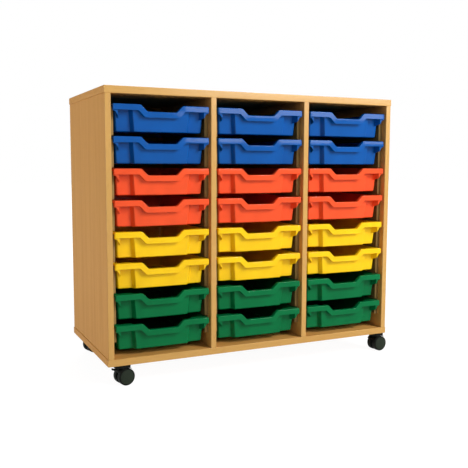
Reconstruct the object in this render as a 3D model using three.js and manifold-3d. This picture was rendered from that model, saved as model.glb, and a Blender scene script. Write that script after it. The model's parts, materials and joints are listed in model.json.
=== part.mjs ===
// Mobile tray storage unit: a board carcass with three bays of moulded trays that slide on
// side runners, standing on four swivelling twin-wheel castors. Millimetres, +Z up.
// The origin is on the floor under the middle of the carcass, and the open front faces -Y.
import * as THREE from "three";
import { mergeVertices } from "three/addons/utils/BufferGeometryUtils.js";
import Module from "manifold-3d";

const wasm = await Module();
wasm.setup();

// Layout: the bays from left to right, the uprights between them, and the rows from the top down
const BAYS = ["left", "centre", "right"];
const UPRIGHTS = ["left_side_panel", "left_divider", "right_divider", "right_side_panel"];
const ROWS = ["blue", "blue", "red", "red", "yellow", "yellow", "green", "green"];

// Carcass boards
const UPRIGHT_THICKNESS = 18;
const TOP_THICKNESS = 22;
const BASE_THICKNESS = 22;
const BACK_THICKNESS = 15;
const END_OVERHANG = 2; // of the top and the base past the side panels

// Room around the trays
const TRAY_SETBACK = 1; // from the front edges of the boards to the front of the lips
const ROOM_BEHIND_TRAYS = 37;
const ROOM_ABOVE_TRAYS = 30;
const ROOM_BELOW_TRAYS = 20;
const TRAY_TO_TRAY_GAP = 14;
const TRAY_SIDE_GAP = 2; // between a tray's flange and the runner beside it

// Tray, over its rim
const TRAY_WIDTH = 310;
const TRAY_DEPTH = 427;
const TRAY_HEIGHT = 82;
const TRAY_WALL = 2.4;
const TRAY_FLOOR = 2.6;
const SIDE_FLANGE = 10; // how far the rim stands out over the side walls
const REAR_FLANGE = 12;
const RIM_THICKNESS = 2.6;
const RIM_EDGE_DROP = 7; // height of the turned-down edge of the side and rear flanges
const WALL_DRAFT = 6; // how far the side and rear walls lean in over the tray's height
const FRONT_DRAFT = 7; // the same for the front wall
const REAR_CORNER = 12; // slant across the two rear corners

// Tray front: a lip with a hand dip, over a wall whose middle stands forward of its ends
const LIP_HEIGHT = 18;
const LIP_THICKNESS = 2.6;
const DIP_DEPTH = 21;
const DIP_FLOOR_WIDTH = 94;
const DIP_SLOPE_RUN = 21;
const PANEL_SETBACK = 10; // from the front of the lip to the middle of the front wall
const PANEL_STEP = 15; // from there back to the ends of the front wall
const PANEL_WIDTH = 186; // at the rim
const PANEL_TAPER = 8; // how far each side of the panel moves in over the tray's height
const PANEL_SLOPE_RUN = 7;

// Corner webs that brace the ends of the lip: a short toe behind the lip, and a fin from it to the wall
const WEB_THICKNESS = 2.4;
const TOE_WIDTH = 10;
const TOE_DEPTH = 5;
const TOE_DROP = 25;
const FIN_WALL_DROP = 42; // down the front wall at the fin's inner end
const FIN_WALL_INSET = 25; // of that end from the edge of the rim

// Runner strips
const RUNNER_THICKNESS = 4;
const RUNNER_RIB = 3; // thickness of the upright rib that closes the front of the strip
const RUNNER_FOOT_GAP = 48; // from the base panel up to the strip
const RUNNER_HEAD = 5; // from the top ledge up to the end of the strip
const RUNNER_REAR_GAP = 20;
const RUNNER_FRONT = 24; // from the front edges of the boards to the strip
const LEDGE_THICKNESS = 3;
const LEDGE_TO_WALL_GAP = 3; // from the ledge's edge to the tray's side wall
const LEDGE_CLEARANCE = 0.3; // under the turned-down edge that slides on it
const GROOVE_HEADROOM = 3; // over the rim, between the ribs

// Castors
const CASTOR_INSET = 34; // from the faces of the carcass to the swivel axis
const WHEEL_RADIUS = 27;
const WHEEL_WIDTH = 19;
const WHEEL_CAP = 2.5; // thickness of the closed outer face over the axle's end
const WHEEL_FACE_STEP = 5; // from the tread to the raised middle of the outer face
const WHEEL_EDGE = 1.5; // slant between the tread and the faces
const WHEEL_SIDES = 24;
const TRAIL = 25; // from the swivel axis to the axle
const AXLE_RADIUS = 3;
const AXLE_SIDES = 12;
const PLATE_SIZE = 38;
const PLATE_THICKNESS = 2.5;
const STEM_RADIUS = 6;
const STEM_LENGTH = 9.5;
const STEM_SIDES = 12;
const SWIVEL_GAP = 2; // between the plate and the hood
const CAP_THICKNESS = 10;
const CAP_FRONT = 8; // from the swivel axis to the nose of the hood
const NOSE_WIDTH = 12;
const NOSE_RUN = 14; // from the nose back to where the hood is at its widest
const CAP_REAR = 14; // from the axle to the tail of the hood
const CAP_CORNER = 6; // slant across the corners of the tail
const HOOD_INSET = 2; // of the hood's sides inside the wheels' outer faces
const FENDER_GAP = 1.5; // between the wheels and the hood around them
const FENDER_THICKNESS = 2;
const FENDER_FROM = 10; // degrees round the axle, from level at the tail
const FENDER_TO = 150;
const FENDER_STEPS = 9;
const FORK_THICKNESS = 7; // of the web between the two wheels
const FORK_NECK = 12; // from the axle to the web's rear edge under the cap
const FORK_FRONT = 2; // from the swivel axis to the web's front edge under the cap
const BOSS_WALL = 6; // around the axle
const RUN_CLEARANCE = 0.3; // around axles, stems and pivots
const END_CLEARANCE = 0.5; // past the ends of axles and stems
const SIDE_CLEARANCE = 1; // beside the wheels

// Brake lever
const LEVER_WIDTH = 10;
const LEVER_THICKNESS = 2.2;
const LEVER_REACH = 8; // past the nose of the hood
const LEVER_TIP_RISE = 3; // over that reach
const LEVER_INNER_END = 0.5; // from the swivel axis to the end under the cap
const LEVER_PIVOT = 3.5; // from the swivel axis to the lever's pivot
const LEVER_HEADROOM = 1.8; // between the cap and the lever
const LEVER_SWING_ROOM = 1.6; // under the lever
const PIVOT_RADIUS = 1.1;
const PIVOT_SIDES = 8;
const LUG_THICKNESS = 2.5;
const LUG_WALL = 2.4; // around the pivot
const LUG_GAP = 0.5; // between a lug and the lever

// Each castor: its corner, how far its trail is turned from +X in degrees, and whether it brakes
const CASTORS = [
  { corner: "front_left", x: -1, y: -1, turn: 11, brake: true },
  { corner: "front_right", x: 1, y: -1, turn: 4, brake: false },
  { corner: "rear_left", x: -1, y: 1, turn: 15, brake: false },
  { corner: "rear_right", x: 1, y: 1, turn: 10, brake: true },
];

// Colours and finishes
const BEECH = { color: 0xd2a463, roughness: 0.55, metalness: 0 };
const RUNNER_PLASTIC = { color: 0xd8cdb0, roughness: 0.5, metalness: 0 };
const CASTOR_PLASTIC = { color: 0x262b27, roughness: 0.5, metalness: 0 };
const WHEEL_PLASTIC = { color: 0x333a35, roughness: 0.45, metalness: 0 };
const STEEL = { color: 0x9a9c9e, roughness: 0.35, metalness: 1 };
const TRAY_PLASTICS = {
  blue: { color: 0x1558ad, roughness: 0.4, metalness: 0 },
  red: { color: 0xf3562f, roughness: 0.4, metalness: 0 },
  yellow: { color: 0xf8c62c, roughness: 0.4, metalness: 0 },
  green: { color: 0x157a43, roughness: 0.4, metalness: 0 },
};

// Sizes worked out from the ones above
const BAY_WIDTH = TRAY_WIDTH + 2 * (TRAY_SIDE_GAP + RUNNER_THICKNESS);
const BAY_PITCH = BAY_WIDTH + UPRIGHT_THICKNESS;
const CARCASS_WIDTH = BAYS.length * BAY_PITCH + UPRIGHT_THICKNESS;
const CARCASS_DEPTH = TRAY_SETBACK + TRAY_DEPTH + ROOM_BEHIND_TRAYS + BACK_THICKNESS;
const CARCASS_FRONT = -CARCASS_DEPTH / 2;
const ROW_PITCH = TRAY_HEIGHT + TRAY_TO_TRAY_GAP;
const TRAY_STACK = TRAY_HEIGHT + (ROWS.length - 1) * ROW_PITCH;
const INSIDE_HEIGHT = ROOM_BELOW_TRAYS + TRAY_STACK + ROOM_ABOVE_TRAYS;
const INSIDE_DEPTH = CARCASS_DEPTH - BACK_THICKNESS;

const CAP_BOTTOM = 2 * WHEEL_RADIUS + FENDER_GAP;
const CAP_TOP = CAP_BOTTOM + CAP_THICKNESS;
const PLATE_BOTTOM = CAP_TOP + SWIVEL_GAP;
const CASTOR_HEIGHT = PLATE_BOTTOM + PLATE_THICKNESS;
const WHEEL_INNER_FACE = FORK_THICKNESS / 2 + SIDE_CLEARANCE;
const WHEEL_OUTER_FACE = WHEEL_INNER_FACE + WHEEL_WIDTH;
const HOOD_HALF_WIDTH = WHEEL_OUTER_FACE - HOOD_INSET;

const BASE_TOP = CASTOR_HEIGHT + BASE_THICKNESS;
const TOP_BOTTOM = BASE_TOP + INSIDE_HEIGHT;
const TOP_RIM = BASE_TOP + ROOM_BELOW_TRAYS + TRAY_STACK;
const END_WALL = PANEL_SETBACK + PANEL_STEP; // from the front of the lip to the ends of the wall
const RUNNER_REACH = RUNNER_THICKNESS + TRAY_SIDE_GAP + SIDE_FLANGE - LEDGE_TO_WALL_GAP;
const PAST = 5; // how far cutting shapes run past what they cut
const MERGE_DISTANCE = 1e-4; // between corners that are one point

const centreOfBay = (bay) => (bay - (BAYS.length - 1) / 2) * BAY_PITCH;
const rimOfRow = (row) => TOP_RIM - row * ROW_PITCH;
const radians = THREE.MathUtils.degToRad;

// Solids from three.js geometry, and back
function solidOf(geometry) {
  const bare = geometry.clone();
  bare.deleteAttribute("normal");
  bare.deleteAttribute("uv");
  const merged = mergeVertices(bare, MERGE_DISTANCE);
  return new wasm.Manifold(
    new wasm.Mesh({
      numProp: 3,
      vertProperties: new Float32Array(merged.attributes.position.array),
      triVerts: new Uint32Array(merged.index.array),
    }),
  );
}

function geometryOf(solid) {
  const mesh = solid.getMesh();
  const geometry = new THREE.BufferGeometry();
  geometry.setAttribute("position", new THREE.BufferAttribute(mesh.vertProperties, 3));
  geometry.setIndex(new THREE.BufferAttribute(mesh.triVerts, 1));
  return geometry;
}

const joined = (solids) => solids.reduce((whole, piece) => whole.add(piece));
const without = (solid, cuts) => cuts.reduce((left, cut) => left.subtract(cut), solid);

// Plain forms, each placed by its lowest and highest corners or by its outline
function boxGeometry(low, high) {
  const size = high.map((value, axis) => value - low[axis]);
  const middle = high.map((value, axis) => (value + low[axis]) / 2);
  return new THREE.BoxGeometry(...size).translate(...middle);
}

function shapeOf(points) {
  return new THREE.Shape(points.map(([x, y]) => new THREE.Vector2(x, y)));
}

// A level outline in X and Y, raised from one height to another
function raised(points, from, to) {
  const settings = { depth: to - from, bevelEnabled: false };
  return new THREE.ExtrudeGeometry(shapeOf(points), settings).translate(0, 0, from);
}

// An upright outline in X and Z, drawn out from one Y to another
function drawnBack(points, from, to) {
  const settings = { depth: to - from, bevelEnabled: false };
  const drawn = new THREE.ExtrudeGeometry(shapeOf(points), settings);
  return drawn.rotateX(Math.PI / 2).translate(0, to, 0);
}

// A closed form between two level outlines with the same number of points
function lofted(lower, upper, bottom, top) {
  const count = lower.length;
  const positions = [
    ...lower.map(([x, y]) => [x, y, bottom]),
    ...upper.map(([x, y]) => [x, y, top]),
  ];
  const contour = lower.map(([x, y]) => new THREE.Vector2(x, y));
  const caps = THREE.ShapeUtils.triangulateShape(contour, []);
  const indices = [];
  for (const [a, b, c] of caps) {
    indices.push(c, b, a);
    indices.push(a + count, b + count, c + count);
  }
  for (let i = 0; i < count; i++) {
    const next = (i + 1) % count;
    indices.push(i, next, next + count);
    indices.push(i, next + count, i + count);
  }
  const geometry = new THREE.BufferGeometry();
  const flat = new Float32Array(positions.flat());
  geometry.setAttribute("position", new THREE.BufferAttribute(flat, 3));
  geometry.setIndex(indices);
  return geometry;
}

// A round pin or bore, whose flats lie at the given radius when it is a bore
function uprightPin(radius, sides, from, to) {
  const pin = new THREE.CylinderGeometry(radius, radius, to - from, sides);
  return pin.rotateX(Math.PI / 2).translate(0, 0, (from + to) / 2);
}

function crossPin(radius, sides, halfLength, x, z) {
  const pin = new THREE.CylinderGeometry(radius, radius, 2 * halfLength, sides);
  return pin.translate(x, 0, z);
}

const boreRadius = (pinRadius, sides) => (pinRadius + RUN_CLEARANCE) / Math.cos(Math.PI / sides);

const unit = new THREE.Group();

function addMesh(parent, name, geometry, finish) {
  const mesh = new THREE.Mesh(geometry, new THREE.MeshStandardMaterial(finish));
  mesh.name = name;
  parent.add(mesh);
  return mesh;
}

// Carcass: the top and base run over and under the uprights and a little past them, and the back
// stands between the side panels
function addCarcass() {
  const half = CARCASS_WIDTH / 2;
  const end = half + END_OVERHANG;
  const back = -CARCASS_FRONT;
  const inside = half - UPRIGHT_THICKNESS;
  const board = (name, low, high) => addMesh(unit, name, boxGeometry(low, high), BEECH);
  board("base_panel", [-end, CARCASS_FRONT, CASTOR_HEIGHT], [end, back, BASE_TOP]);
  board("top_panel", [-end, CARCASS_FRONT, TOP_BOTTOM], [end, back, TOP_BOTTOM + TOP_THICKNESS]);
  board("back_panel", [-inside, back - BACK_THICKNESS, BASE_TOP], [inside, back, TOP_BOTTOM]);
  UPRIGHTS.forEach((name, place) => {
    const left = -half + place * BAY_PITCH;
    const outer = place === 0 || place === UPRIGHTS.length - 1;
    const depth = outer ? CARCASS_DEPTH : INSIDE_DEPTH;
    const low = [left, CARCASS_FRONT, BASE_TOP];
    board(name, low, [left + UPRIGHT_THICKNESS, CARCASS_FRONT + depth, TOP_BOTTOM]);
  });
}

// Runner strip: an upright web against the board, one ledge under each tray's flange, and ribs that
// close its front between the grooves for the flanges
const topOfLedge = (row) => rimOfRow(row) - RIM_EDGE_DROP - LEDGE_CLEARANCE;
const RUNNER_FOOT = BASE_TOP + RUNNER_FOOT_GAP;

function combOutline() {
  const head = topOfLedge(0) + RUNNER_HEAD;
  const teeth = ROWS.map((_, row) => {
    const top = topOfLedge(row);
    return [
      [RUNNER_THICKNESS, top],
      [RUNNER_REACH, top],
      [RUNNER_REACH, top - LEDGE_THICKNESS],
      [RUNNER_THICKNESS, top - LEDGE_THICKNESS],
    ];
  });
  const down = [[0, head], [RUNNER_THICKNESS, head], ...teeth.flat()];
  return [...down, [RUNNER_THICKNESS, RUNNER_FOOT], [0, RUNNER_FOOT]].reverse();
}

function runnerSolid(front, rear) {
  const comb = solidOf(drawnBack(combOutline(), front, rear));
  const inWeb = RUNNER_THICKNESS / 2;
  const ribs = ROWS.map((_, row) => {
    const last = row === ROWS.length - 1;
    const bottom = last ? RUNNER_FOOT : rimOfRow(row + 1) + GROOVE_HEADROOM;
    const top = topOfLedge(row) - LEDGE_THICKNESS / 2;
    return solidOf(boxGeometry([inWeb, front, bottom], [RUNNER_REACH, front + RUNNER_RIB, top]));
  });
  return joined([comb, ...ribs]);
}

function addRunners() {
  const front = CARCASS_FRONT + RUNNER_FRONT;
  const rear = CARCASS_FRONT + INSIDE_DEPTH - RUNNER_REAR_GAP;
  const leftStrip = runnerSolid(front, rear);
  const strips = [
    { side: "left", shape: geometryOf(leftStrip), direction: -1 },
    { side: "right", shape: geometryOf(leftStrip.mirror([1, 0, 0])), direction: 1 },
  ];
  BAYS.forEach((name, bay) => {
    for (const { side, shape, direction } of strips) {
      const runner = addMesh(unit, `${name}_bay_${side}_runner`, shape, RUNNER_PLASTIC);
      runner.position.x = centreOfBay(bay) + (direction * BAY_WIDTH) / 2;
    }
  });
}

// Tray: X across, Y back from the front of the lip, Z up from the top of the rim
// The plan of the tray's walls at a share of the way down, set in from their outer faces
function wallOutline(down, inset) {
  const lean = WALL_DRAFT * down + inset;
  const frontLean = FRONT_DRAFT * down + inset;
  const half = TRAY_WIDTH / 2 - SIDE_FLANGE - lean;
  const rear = TRAY_DEPTH - REAR_FLANGE - lean;
  const stepAngle = Math.atan2(PANEL_STEP, PANEL_SLOPE_RUN);
  const panel = PANEL_WIDTH / 2 - PANEL_TAPER * down - inset * Math.tan(stepAngle / 2);
  const middleFront = PANEL_SETBACK + frontLean;
  const endFront = END_WALL + frontLean;
  const slant = REAR_CORNER - inset * (2 - Math.SQRT2);
  return [
    [-half, endFront],
    [-panel - PANEL_SLOPE_RUN, endFront],
    [-panel, middleFront],
    [panel, middleFront],
    [panel + PANEL_SLOPE_RUN, endFront],
    [half, endFront],
    [half, rear - slant],
    [half - slant, rear],
    [slant - half, rear],
    [-half, rear - slant],
  ];
}

// The lip's edge from left to right, set down from its top by an even band
function lipEdge(drop) {
  const dipAngle = Math.atan2(DIP_DEPTH, DIP_SLOPE_RUN);
  const floorHalf = DIP_FLOOR_WIDTH / 2 + drop * Math.tan(dipAngle / 2);
  const topHalf = floorHalf + DIP_SLOPE_RUN;
  const end = TRAY_WIDTH / 2;
  return [
    [-end, -drop],
    [-topHalf, -drop],
    [-floorHalf, -drop - DIP_DEPTH],
    [floorHalf, -drop - DIP_DEPTH],
    [topHalf, -drop],
    [end, -drop],
  ];
}

function lipBand(drop, depth) {
  const outline = [...lipEdge(drop), ...lipEdge(0).reverse()];
  return solidOf(drawnBack(outline, 0, depth));
}

// The brace at one end of the lip: a toe behind the lip, and a fin that slants in to the front wall
function cornerWeb(side) {
  const edge = TRAY_WIDTH / 2;
  const inLip = LIP_THICKNESS / 2;
  const top = -RIM_THICKNESS / 2;
  const toeEnds = [side * edge, side * (edge - TOE_WIDTH)].sort((a, b) => a - b);
  const toe = boxGeometry([toeEnds[0], inLip, -TOE_DROP], [toeEnds[1], TOE_DEPTH, top]);
  const wallLean = (FRONT_DRAFT * FIN_WALL_DROP) / TRAY_HEIGHT;
  const run = END_WALL + wallLean + TRAY_WALL / 2 - inLip;
  const across = FIN_WALL_INSET - TOE_WIDTH;
  const length = Math.hypot(run, across);
  const finOutline = [
    [0, top],
    [0, -TOE_DROP],
    [length, -FIN_WALL_DROP],
    [length, top],
  ];
  const fin = drawnBack(finOutline, -WEB_THICKNESS / 2, WEB_THICKNESS / 2);
  fin.rotateZ(Math.PI / 2 + side * Math.atan2(across, run));
  fin.translate(side * (edge - TOE_WIDTH), inLip, 0);
  return joined([solidOf(toe), solidOf(fin)]);
}

function trayGeometry() {
  const edge = TRAY_WIDTH / 2;
  const inRim = -RIM_THICKNESS / 2;
  const rimShare = RIM_THICKNESS / 2 / TRAY_HEIGHT;
  const body = solidOf(lofted(wallOutline(1, 0), wallOutline(rimShare, 0), -TRAY_HEIGHT, inRim));
  const rim = solidOf(boxGeometry([-edge, 0, -RIM_THICKNESS], [edge, TRAY_DEPTH, 0]));
  const turnedEdge = without(
    solidOf(boxGeometry([-edge, 0, -RIM_EDGE_DROP], [edge, TRAY_DEPTH, inRim])),
    [
      solidOf(
        boxGeometry(
          [RIM_THICKNESS - edge, -PAST, -RIM_EDGE_DROP - PAST],
          [edge - RIM_THICKNESS, TRAY_DEPTH - RIM_THICKNESS, PAST],
        ),
      ),
    ],
  );
  const webs = [cornerWeb(-1), cornerWeb(1)];
  const floorShare = 1 - TRAY_FLOOR / TRAY_HEIGHT;
  const overShare = -PAST / TRAY_HEIGHT;
  const hollow = solidOf(
    lofted(
      wallOutline(floorShare, TRAY_WALL),
      wallOutline(overShare, TRAY_WALL),
      TRAY_FLOOR - TRAY_HEIGHT,
      PAST,
    ),
  );
  const [, dipLeft, floorLeft, floorRight, dipRight] = lipEdge(0);
  const dipOutline = [dipLeft, floorLeft, floorRight, dipRight, [dipRight[0], PAST], [dipLeft[0], PAST]];
  const dip = solidOf(drawnBack(dipOutline, -PAST, END_WALL));
  const lip = lipBand(LIP_HEIGHT, LIP_THICKNESS);
  const shelf = lipBand(RIM_THICKNESS, PANEL_SETBACK + FRONT_DRAFT + TRAY_WALL);
  const shell = joined([body, rim, turnedEdge, lip, shelf, ...webs]);
  return geometryOf(without(shell, [hollow, dip]));
}

function addTrays() {
  const geometry = trayGeometry();
  ROWS.forEach((colour, row) => {
    BAYS.forEach((name, bay) => {
      const tray = addMesh(unit, `${name}_tray_row_${row + 1}`, geometry, TRAY_PLASTICS[colour]);
      tray.position.set(centreOfBay(bay), CARCASS_FRONT + TRAY_SETBACK, rimOfRow(row));
    });
  });
}

// Castor: X along the trail from the swivel axis, Y along the axle, Z up from the floor
function plateGeometry() {
  const half = PLATE_SIZE / 2;
  const plate = solidOf(boxGeometry([-half, -half, PLATE_BOTTOM], [half, half, CASTOR_HEIGHT]));
  const middle = PLATE_BOTTOM + PLATE_THICKNESS / 2;
  const stem = solidOf(uprightPin(STEM_RADIUS, STEM_SIDES, PLATE_BOTTOM - STEM_LENGTH, middle));
  return geometryOf(joined([plate, stem]));
}

// The wheel's flats touch the wheel's circle, so that it stands on one of them
function wheelGeometry() {
  const toCorner = 1 / Math.cos(Math.PI / WHEEL_SIDES);
  const tread = WHEEL_RADIUS * toCorner;
  const bore = boreRadius(AXLE_RADIUS, WHEEL_SIDES);
  const depth = WHEEL_WIDTH - WHEEL_CAP;
  const profile = [
    [0, depth],
    [bore, depth],
    [bore, 0],
    [tread - WHEEL_EDGE, 0],
    [tread, WHEEL_EDGE],
    [tread, WHEEL_WIDTH - 2 * WHEEL_EDGE],
    [tread - WHEEL_EDGE, WHEEL_WIDTH - WHEEL_EDGE],
    [tread - WHEEL_FACE_STEP, WHEEL_WIDTH - WHEEL_EDGE],
    [tread - WHEEL_FACE_STEP - WHEEL_EDGE, WHEEL_WIDTH],
    [0, WHEEL_WIDTH],
  ];
  const points = profile.map(([radius, along]) => new THREE.Vector2(radius, along));
  const halfSide = Math.PI / WHEEL_SIDES;
  return new THREE.LatheGeometry(points, WHEEL_SIDES, halfSide);
}

function fenderOutline() {
  const inner = WHEEL_RADIUS + FENDER_GAP;
  const outer = inner + FENDER_THICKNESS;
  const arc = (radius, step) => {
    const angle = radians(FENDER_FROM + ((FENDER_TO - FENDER_FROM) * step) / FENDER_STEPS);
    return [TRAIL + radius * Math.cos(angle), WHEEL_RADIUS + radius * Math.sin(angle)];
  };
  const steps = Array.from({ length: FENDER_STEPS + 1 }, (_, step) => step);
  return [
    ...steps.map((step) => arc(outer, step)),
    ...steps.reverse().map((step) => arc(inner, step)),
  ];
}

// The fork's web: a boss round the axle, joined up to the cap between the wheels
function forkOutline() {
  const boss = AXLE_RADIUS + BOSS_WALL;
  const bossAngles = [180, 225, 270, 315, 360];
  const bossArc = bossAngles.map((angle) => [
    TRAIL + boss * Math.cos(radians(angle)),
    WHEEL_RADIUS + boss * Math.sin(radians(angle)),
  ]);
  const inCap = CAP_BOTTOM + CAP_THICKNESS / 4;
  return [...bossArc, [TRAIL + FORK_NECK, inCap], [FORK_FRONT, inCap]];
}

function capOutline() {
  const nose = -CAP_FRONT;
  const tail = TRAIL + CAP_REAR;
  const side = HOOD_HALF_WIDTH;
  return [
    [nose + NOSE_RUN, -side],
    [tail - CAP_CORNER, -side],
    [tail, CAP_CORNER - side],
    [tail, side - CAP_CORNER],
    [tail - CAP_CORNER, side],
    [nose + NOSE_RUN, side],
    [nose, NOSE_WIDTH / 2],
    [nose, -NOSE_WIDTH / 2],
  ];
}

const LEVER_TIP = CAP_FRONT + LEVER_REACH; // from the swivel axis
const LEVER_TOP = CAP_BOTTOM - LEVER_HEADROOM;
const LEVER_BOTTOM = LEVER_TOP - LEVER_THICKNESS;
const LEVER_MIDDLE = LEVER_TOP - LEVER_THICKNESS / 2;
const LUG_INNER = LEVER_WIDTH / 2 + LUG_GAP;
const LUG_OUTER = LUG_INNER + LUG_THICKNESS;

function hoodGeometry(brake) {
  const cap = solidOf(raised(capOutline(), CAP_BOTTOM, CAP_TOP));
  const fender = solidOf(drawnBack(fenderOutline(), -HOOD_HALF_WIDTH, HOOD_HALF_WIDTH));
  const fork = solidOf(drawnBack(forkOutline(), -FORK_THICKNESS / 2, FORK_THICKNESS / 2));
  const axleBore = boreRadius(AXLE_RADIUS, WHEEL_SIDES);
  const stemFloor = PLATE_BOTTOM - STEM_LENGTH - END_CLEARANCE;
  const cuts = [
    solidOf(crossPin(axleBore, WHEEL_SIDES, FORK_THICKNESS, TRAIL, WHEEL_RADIUS)),
    solidOf(uprightPin(boreRadius(STEM_RADIUS, WHEEL_SIDES), WHEEL_SIDES, stemFloor, CAP_TOP + PAST)),
  ];
  const hood = without(joined([cap, fender, fork]), cuts);
  if (!brake) return geometryOf(hood);
  const room = solidOf(
    boxGeometry(
      [-LEVER_TIP - PAST, -LUG_OUTER, LEVER_BOTTOM - LEVER_SWING_ROOM],
      [LUG_GAP - LEVER_INNER_END, LUG_OUTER, CAP_BOTTOM],
    ),
  );
  const around = PIVOT_RADIUS + LUG_WALL;
  const lug = (from, to) =>
    solidOf(
      boxGeometry(
        [-LEVER_PIVOT - around, from, LEVER_MIDDLE - around],
        [around - LEVER_PIVOT, to, CAP_BOTTOM + CAP_THICKNESS / 4],
      ),
    );
  const pivotBore = boreRadius(PIVOT_RADIUS, PIVOT_SIDES);
  const pivot = solidOf(crossPin(pivotBore, PIVOT_SIDES, LUG_OUTER + PAST, -LEVER_PIVOT, LEVER_MIDDLE));
  const lugs = [lug(LUG_INNER, LUG_OUTER), lug(-LUG_OUTER, -LUG_INNER)];
  return geometryOf(without(joined([hood.subtract(room), ...lugs]), [pivot]));
}

// The lever lies level under the cap and rises past the hood's nose to its tip
function leverGeometry() {
  const half = LEVER_WIDTH / 2;
  const outline = [
    [-LEVER_INNER_END, LEVER_BOTTOM],
    [-LEVER_INNER_END, LEVER_TOP],
    [-CAP_FRONT, LEVER_TOP],
    [-LEVER_TIP, LEVER_TOP + LEVER_TIP_RISE],
    [-LEVER_TIP, LEVER_BOTTOM + LEVER_TIP_RISE],
    [-CAP_FRONT, LEVER_BOTTOM],
  ];
  const blade = solidOf(drawnBack(outline, -half, half));
  const pivot = solidOf(crossPin(PIVOT_RADIUS, PIVOT_SIDES, LUG_OUTER, -LEVER_PIVOT, LEVER_MIDDLE));
  return geometryOf(joined([blade, pivot]));
}

function axleGeometry() {
  const halfLength = WHEEL_OUTER_FACE - WHEEL_CAP - END_CLEARANCE;
  return crossPin(AXLE_RADIUS, AXLE_SIDES, halfLength, TRAIL, WHEEL_RADIUS);
}

function addCastors() {
  for (const { corner, x, y, turn, brake } of CASTORS) {
    const swivelX = x * (CARCASS_WIDTH / 2 - CASTOR_INSET);
    const swivelY = y * (CARCASS_DEPTH / 2 - CASTOR_INSET);
    const plate = addMesh(unit, `${corner}_castor_plate`, plateGeometry(), STEEL);
    plate.position.set(swivelX, swivelY, 0);
    const turned = new THREE.Group();
    turned.position.set(swivelX, swivelY, 0);
    turned.rotation.z = radians(turn);
    unit.add(turned);
    addMesh(turned, `${corner}_castor_hood`, hoodGeometry(brake), CASTOR_PLASTIC);
    addMesh(turned, `${corner}_castor_axle`, axleGeometry(), STEEL);
    const inner = addMesh(turned, `${corner}_castor_wheel_inner`, wheelGeometry(), WHEEL_PLASTIC);
    inner.position.set(TRAIL, WHEEL_INNER_FACE, WHEEL_RADIUS);
    const outer = addMesh(turned, `${corner}_castor_wheel_outer`, wheelGeometry(), WHEEL_PLASTIC);
    outer.position.set(TRAIL, -WHEEL_INNER_FACE, WHEEL_RADIUS);
    outer.rotation.z = Math.PI;
    if (brake) addMesh(turned, `${corner}_castor_brake_lever`, leverGeometry(), CASTOR_PLASTIC);
  }
}

addCarcass();
addRunners();
addTrays();
addCastors();

export default unit;
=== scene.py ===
"""Looks of a mobile tray storage unit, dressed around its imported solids.

Boards with lipped edges, moulded trays, runner strips and twin-wheel castors are built as meshes in the
frame of the solids, and each one rides on the body that carries it. Sizes are in millimetres, and meshes
are written in metres.
"""

import json
import logging
import math
from dataclasses import dataclass, field
from enum import Enum
from typing import Callable, Sequence, Union

import bmesh
import bpy
from mathutils import Matrix, Vector


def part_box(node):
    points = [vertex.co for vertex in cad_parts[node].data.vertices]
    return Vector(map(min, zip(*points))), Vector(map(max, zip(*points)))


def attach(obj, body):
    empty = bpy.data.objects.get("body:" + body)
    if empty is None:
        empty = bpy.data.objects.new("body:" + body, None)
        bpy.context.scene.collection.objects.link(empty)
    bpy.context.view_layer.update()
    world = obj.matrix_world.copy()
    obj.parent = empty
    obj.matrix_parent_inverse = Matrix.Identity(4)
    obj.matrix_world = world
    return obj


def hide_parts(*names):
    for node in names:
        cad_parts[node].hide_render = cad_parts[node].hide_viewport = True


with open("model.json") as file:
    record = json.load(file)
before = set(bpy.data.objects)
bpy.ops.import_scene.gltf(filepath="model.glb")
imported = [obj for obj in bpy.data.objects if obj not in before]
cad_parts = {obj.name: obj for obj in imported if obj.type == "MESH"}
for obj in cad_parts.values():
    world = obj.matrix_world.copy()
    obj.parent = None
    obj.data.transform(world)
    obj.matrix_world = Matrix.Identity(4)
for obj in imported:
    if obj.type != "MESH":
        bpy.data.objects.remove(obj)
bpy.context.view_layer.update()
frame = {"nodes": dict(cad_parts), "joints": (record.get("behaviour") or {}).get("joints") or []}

MM = 0.001
Plan = tuple[float, float]
Point = tuple[float, float, float]
Colour = tuple[float, float, float]

logging.basicConfig(level=logging.INFO, format="%(message)s")
log = logging.getLogger("tray_unit")


def colour_of(red: int, green: int, blue: int) -> Colour:
    """Turn a screen colour into the linear one that shaders take.

    Args:
        red: Red, from 0 to 255.
        green: Green, from 0 to 255.
        blue: Blue, from 0 to 255.

    Returns:
        The linear colour.
    """
    def linear(level: float) -> float:
        """Undo the screen's curve for one level from 0 to 1."""
        return level / 12.92 if level <= 0.04045 else ((level + 0.055) / 1.055) ** 2.4

    return linear(red / 255), linear(green / 255), linear(blue / 255)


class Value:
    """A number that flows through a shader. Python's operators on it add Math nodes."""

    def __init__(self, graph: "Graph", socket: bpy.types.NodeSocket) -> None:
        """Wrap one output socket of a graph."""
        self.graph = graph
        self.socket = socket

    def __add__(self, other: "Number") -> "Value":
        """Add a value."""
        return self.graph.math("ADD", self, other)

    def __radd__(self, other: "Number") -> "Value":
        """Add to a number."""
        return self.graph.math("ADD", other, self)

    def __sub__(self, other: "Number") -> "Value":
        """Take a value away."""
        return self.graph.math("SUBTRACT", self, other)

    def __rsub__(self, other: "Number") -> "Value":
        """Take this value away from a number."""
        return self.graph.math("SUBTRACT", other, self)

    def __mul__(self, other: "Number") -> "Value":
        """Multiply by a value."""
        return self.graph.math("MULTIPLY", self, other)

    def __rmul__(self, other: "Number") -> "Value":
        """Multiply a number by this value."""
        return self.graph.math("MULTIPLY", other, self)

    def __truediv__(self, other: "Number") -> "Value":
        """Divide by a value."""
        return self.graph.math("DIVIDE", self, other)

    def __rtruediv__(self, other: "Number") -> "Value":
        """Divide a number by this value."""
        return self.graph.math("DIVIDE", other, self)


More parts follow.
